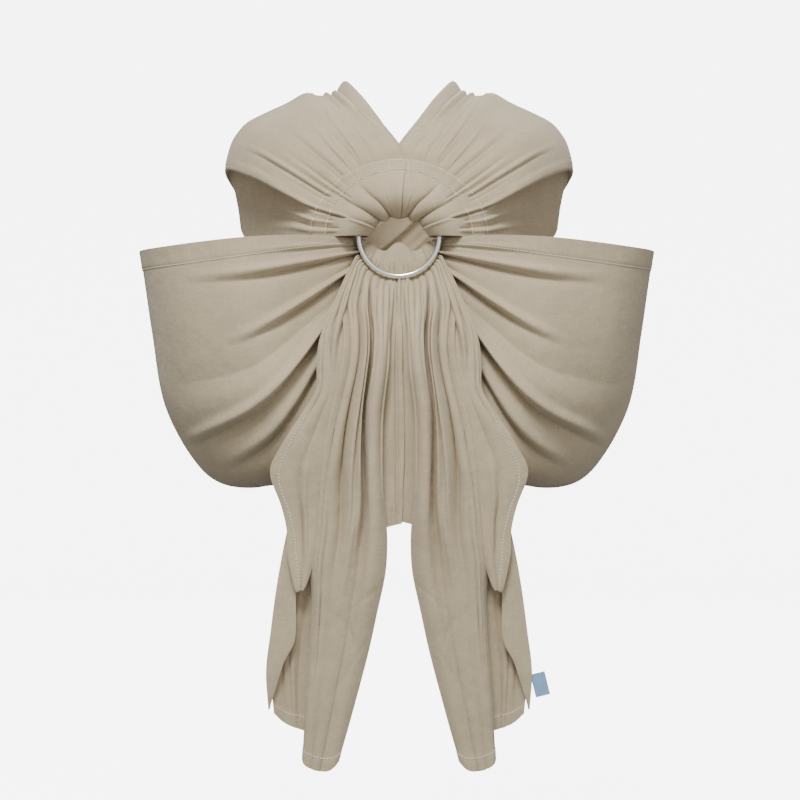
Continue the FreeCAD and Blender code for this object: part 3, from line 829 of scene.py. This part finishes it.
def tail_strip():
    """The middle strip: its pleats, three broad crests, seven long folds, four faint wrinkles
    across its end, and the turned end."""
    grid, height, U, V = folded_tail([strip_outer, strip_fold, strip_valley, strip_crest, strip_inner],
                                     [-0.02, 0.10, 0.22, 0.36, 0.51, 0.66, 0.77, 0.90, 1.02],
                                     150, 300, 0.36)
    fold = partial(crease, U, V)
    broad = puffs(U, [-0.04, 0.34, 0.51, 1.04], 0.8)
    height += 8.5 * (broad - 0.7) * step(V, 0.10, 0.26) * (1 - 0.75 * step(V, 0.62, 0.85))
    height += fold(0.33, 0.16, 0.84, 0.028, 10.0, 1, 0.03, 0.2, 0.4)
    height += fold(0.13, 0.16, 0.74, 0.024, 6.0, -1, 0.02, 0.2, 0.4)
    height += fold(0.50, 0.14, 0.80, 0.026, 10.0, -1, 0.00, 0.2, 0.35)
    height += fold(0.62, 0.16, 0.46, 0.016, 3.6, 1, -0.02, 0.2, 0.5)
    height += fold(0.42, 0.45, 0.86, 0.020, 2.6, 1, -0.03, 0.3, 0.4)
    height += fold(0.90, 0.24, 0.66, 0.016, 3.0, 1, 0.01, 0.3, 0.4)
    height += fold(0.22, 0.60, 0.95, 0.020, 2.6, -1, 0.04, 0.3, 0.3)
    for middle, level, slant, tall in ((0.5, 0.86, 0.10, 0.8), (0.62, 0.91, -0.12, 0.7),
                                       (0.45, 0.935, 0.10, 0.6), (0.70, 0.82, -0.10, 0.6)):
        height -= tall * bump(V, level + slant * (U - middle), 0.006) * bump(U, middle, 0.22)
    height += 0.7 * step(V, STRIP_HEM - 0.002, STRIP_HEM + 0.002)
    return raised(grid, height)


def tail_centre():
    """The fold that closes the centre between the two tails: its pleats and one long fold."""
    grid, height, U, V = folded_tail([centre_outer, centre_inner],
                                     [-0.02, 0.35, 0.72, 1.02], 40, 200, 0.5)
    height += crease(U, V, 0.62, 0.30, 1.1, 0.06, 2.6, 1, 0.05)
    return raised(grid, height)


def add_tail(side, left, name, grid, rows_of_thread=(), nodes_above=(), nodes_below=()):
    """One layer of a tail in two lengths that meet below the ring, where its middle line first drops
    below JOIN_Z; any rows of thread are made with the lower one."""
    split = int(np.argmax(grid[len(grid) // 2, :, 2] < JOIN_Z))
    turned = mirrored(grid, left)
    above = sheet(side + "_" + name + "_gather", turned[:, :split + 1])
    below = sheet(side + "_" + name, turned[:, split:])
    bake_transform(above)
    low = [below]
    if rows_of_thread:
        low.append(stitches(side + "_" + name + "_stitching",
                            [on_cloth(grid, u, v) for u, v in rows_of_thread], left))
    for piece in low:
        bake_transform(piece)
    if nodes_above:
        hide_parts(*nodes_above)
    if nodes_below:
        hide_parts(*nodes_below)


JOIN_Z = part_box("left_tail_panel")[1].z / MM - 4
CENTRE_SHIFT = np.array([0, 1.6, 3])
STRIP_HEM = 0.988
down = np.linspace(0.5, 0.985, 120)
over = np.linspace(0.04, 0.96, 60)
for left, side in SIDES:
    add_tail(side, left, "tail_strip", tail_strip(),
             [(over, 0 * over + STRIP_HEM)], [side + "_tail_gather"],
             [side + "_tail_panel", side + "_tail_end_hem"])
    add_tail(side, left, "tail_flap", tail_flap(),
             [(flap_hem(down), down)], [], [side + "_tail_side_hem"])
    # The right cloth's fold lies a little behind the left one's, so that they lap.
    add_tail(side, left, "tail_centre", tail_centre() + (0 if left else CENTRE_SHIFT))


# ---- The outer layers of the tails ----
# The cloth's outer side is folded back behind the strip and hangs lower than the flap.  Its end
# shows its turned edge, and a narrow fold lies on it along the outside.
layer_outer = [(-108, -178, -440), (-116, -177, -480), (-123, -176, -520), (-128, -175, -565),
               (-130, -175, -610), (-127, -175, -652)]
layer_mid = [(-98, -177, -440), (-103, -175, -480), (-108, -174, -520), (-112, -173, -565),
             (-114, -173, -610), (-112, -173, -664)]
layer_inner = [(-70, -176, -440), (-70, -175, -480), (-70, -175, -520), (-70, -175, -565),
               (-72, -175, -610), (-74, -175, -676)]
wedge_outer = [(-110, -181, -452), (-118, -181, -490), (-125, -181, -530), (-130, -181, -568),
               (-134.5, -181, -608), (-132, -180, -648)]
wedge_inner = [(-98, -181, -452), (-101, -183, -490), (-104, -184, -530), (-105, -184, -575),
               (-117, -183, -601), (-131, -180.5, -646)]


LAYER_HEM = 0.956


def outer_layer():
    """The layer behind: the net of its three lines, with three long folds and a turned end."""
    u, v = np.linspace(0, 1, 90), np.linspace(0, 1, 140)
    U, V = np.meshgrid(u, v, indexing="ij")
    fold = partial(crease, U, V)
    height = fold(0.35, 0.1, 1.2, 0.06, 2.4, 1, 0.1) + fold(0.72, 0.3, 1.2, 0.05, 2.2, -1, -0.1)
    height += fold(0.52, 0.6, 1.15, 0.04, 1.8, 1, 0.06) + 0.8 * np.sin(9 * V + 5 * U)
    height += 0.7 * step(V, LAYER_HEM - 0.004, LAYER_HEM + 0.004)
    return raised(net([layer_outer, layer_mid, layer_inner], u, v), height)


def outer_fold():
    """The narrow fold on it: a flat net, arched across by a half sine that dies out downwards."""
    u, v = np.linspace(0, 1, 30), np.linspace(0, 1, 140)
    U, V = np.meshgrid(u, v, indexing="ij")
    height = 1.6 * np.sin(np.pi * U) * (1 - V) + 0.6 * np.sin(8 * V + 3 * U)
    return raised(net([wedge_outer, wedge_inner], u, v), height)


for left, side in SIDES:
    grid = outer_layer()
    piece = sheet(side + "_tail_layer", mirrored(grid, left))
    sewn = stitches(side + "_tail_layer_stitching",
                    [on_cloth(grid, over, 0 * over + LAYER_HEM)], left)
    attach(piece, side + "_tail")
    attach(sewn, side + "_tail")
    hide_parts(side + "_tail_fold")
    wedge = sheet(side + "_tail_outer_fold", mirrored(outer_fold(), left))
    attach(wedge, side + "_tail")


# ---- The label ----
# A folded tab of light blue satin tape, caught in the outer edge of the right tail.  It is woven
# in fine ribs, and is blank.
def satin(name, tone):
    """Woven tape on the piece's own coordinates in metres: fine ribs along it, which also vary its
    sheen, and a slow change of shade."""
    made = bpy.data.materials.new(name)
    made.use_nodes = True
    nodes, links = made.node_tree.nodes, made.node_tree.links
    skin = nodes["Principled BSDF"]
    skin.inputs["Sheen Weight"].default_value = 0.2
    place = nodes.new("ShaderNodeTexCoord")
    ribs = nodes.new("ShaderNodeTexWave")
    ribs.bands_direction = "Z"
    ribs.inputs["Scale"].default_value = 520.0
    ribs.inputs["Distortion"].default_value = 0.6
    cloud = nodes.new("ShaderNodeTexNoise")
    cloud.inputs["Scale"].default_value = 160.0
    shade = nodes.new("ShaderNodeMix")
    shade.data_type = "RGBA"
    shade.inputs["A"].default_value = (*[0.84 * c for c in tone], 1)
    shade.inputs["B"].default_value = (*[1.14 * c for c in tone], 1)
    rough = nodes.new("ShaderNodeMapRange")
    rough.inputs["To Min"].default_value = 0.34
    rough.inputs["To Max"].default_value = 0.52
    dent = nodes.new("ShaderNodeBump")
    dent.inputs["Strength"].default_value = 0.35
    dent.inputs["Distance"].default_value = 0.0002
    for texture in (ribs, cloud):
        links.new(place.outputs["Object"], texture.inputs["Vector"])
    links.new(cloud.outputs["Fac"], shade.inputs["Factor"])
    links.new(shade.outputs["Result"], skin.inputs["Base Color"])
    links.new(ribs.outputs["Fac"], rough.inputs["Value"])
    links.new(rough.outputs["Result"], skin.inputs["Roughness"])
    links.new(ribs.outputs["Fac"], dent.inputs["Height"])
    links.new(dent.outputs["Normal"], skin.inputs["Normal"])
    return made


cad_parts["label"].data.materials.clear()
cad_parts["label"].data.materials.append(satin("blue_tape", (0.25, 0.42, 0.62)))
